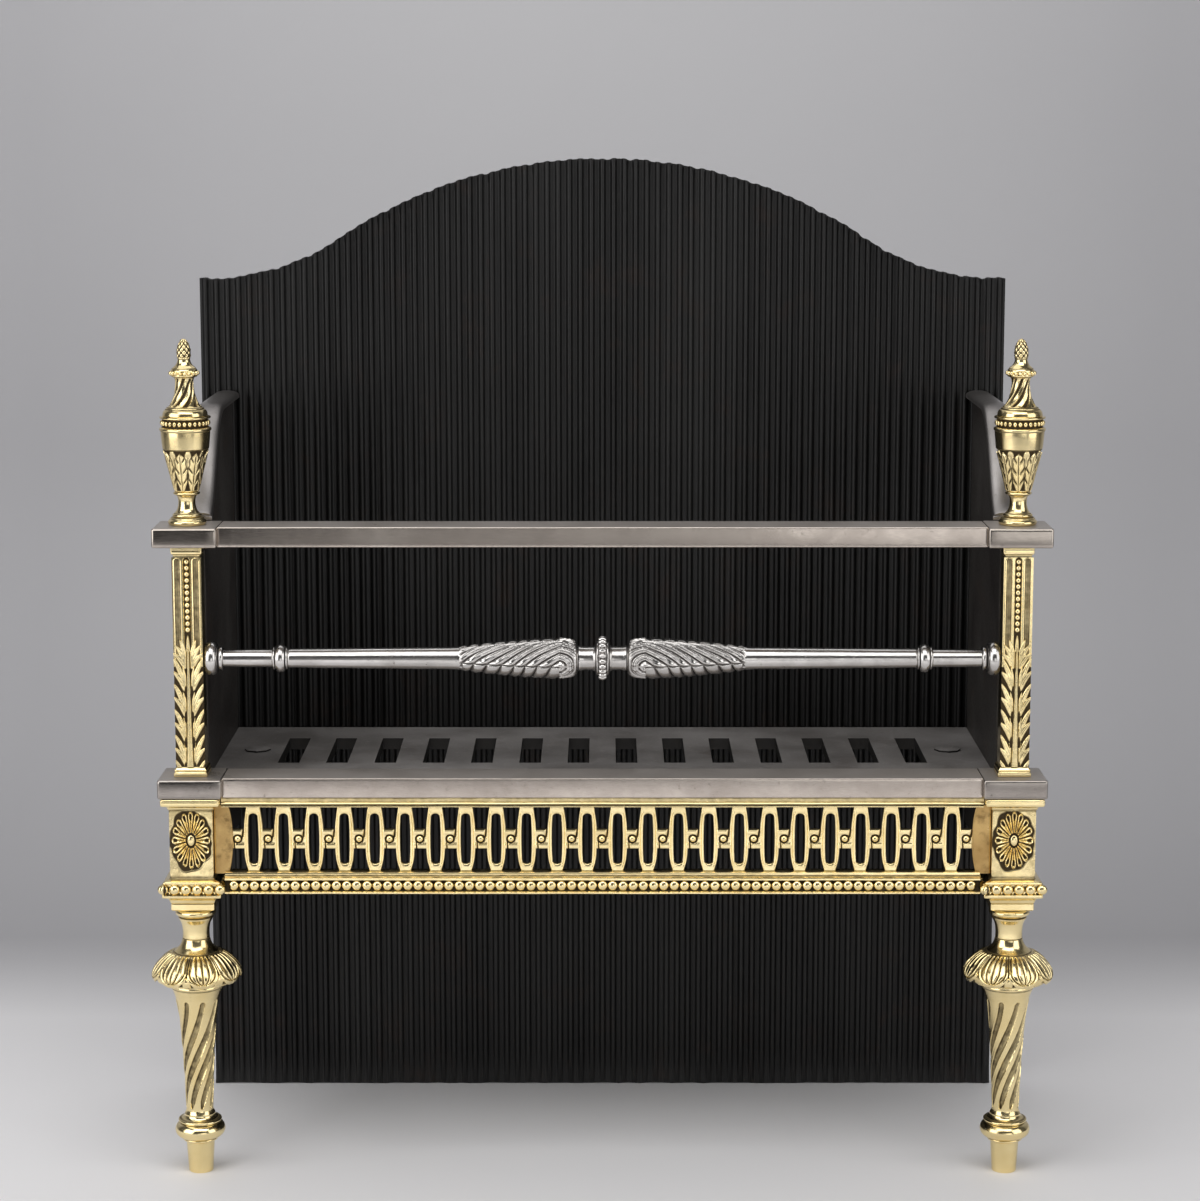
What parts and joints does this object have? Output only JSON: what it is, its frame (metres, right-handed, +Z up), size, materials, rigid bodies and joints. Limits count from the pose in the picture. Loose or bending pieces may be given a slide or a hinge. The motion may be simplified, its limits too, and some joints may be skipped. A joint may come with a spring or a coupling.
{
  "type": "fire basket",
  "caption": "Free-standing fire basket with steel rails, brass urn finials, spiral-fluted legs, a pierced oval fret frieze, a slotted grate and an arched reeded fireback.",
  "frame": {"origin": "middle of the bounding box in plan, on the floor under the legs and the fireback", "axes": "+Z up, +X to the viewer's right, the front with its rails and frieze faces -Y, the fireback stands at +Y"},
  "size_m": [0.759, 0.282, 0.85],
  "materials": {
    "brass": "polished, dark in the recesses",
    "steel": "burnished, cloudy, with worn edges",
    "bright_steel": "polished",
    "cast_iron": "blackened, satin",
    "wrought_iron": "dark, forged"
  },
  "bodies": {
    "root": {"fireback": "cast_iron", "right_cheek": "cast_iron", "left_cheek": "cast_iron", "right_cheek_cap": "steel", "left_cheek_cap": "steel", "grate_plate": "cast_iron", "right_grate_bolt": "wrought_iron", "left_grate_bolt": "wrought_iron", "right_grate_nut": "wrought_iron", "left_grate_nut": "wrought_iron", "right_lower_back_bolt": "wrought_iron", "left_lower_back_bolt": "wrought_iron", "right_lower_back_nut": "wrought_iron", "left_lower_back_nut": "wrought_iron", "right_upper_back_bolt": "wrought_iron", "left_upper_back_bolt": "wrought_iron", "right_upper_back_nut": "wrought_iron", "left_upper_back_nut": "wrought_iron", "top_bar": "steel", "right_top_block": "steel", "left_top_block": "steel", "lower_bar": "steel", "right_lower_block": "steel", "left_lower_block": "steel", "turned_bar": "bright_steel", "fret_panel": "brass", "fret_top_moulding": "brass", "fret_bead_moulding": "brass", "right_leg_toe": "brass", "left_leg_toe": "brass", "right_leg_shaft": "brass", "left_leg_shaft": "brass", "right_leg_knop": "brass", "left_leg_knop": "brass", "right_leg_capital": "brass", "left_leg_capital": "brass", "right_die": "brass", "left_die": "brass", "right_rosette": "brass", "left_rosette": "brass", "right_column": "brass", "left_column": "brass", "right_finial_socle": "brass", "left_finial_socle": "brass", "right_finial_urn": "brass", "left_finial_urn": "brass", "right_finial_cover": "brass", "left_finial_cover": "brass", "right_tie_rod": "wrought_iron", "left_tie_rod": "wrought_iron"}
  },
  "joints": []
}
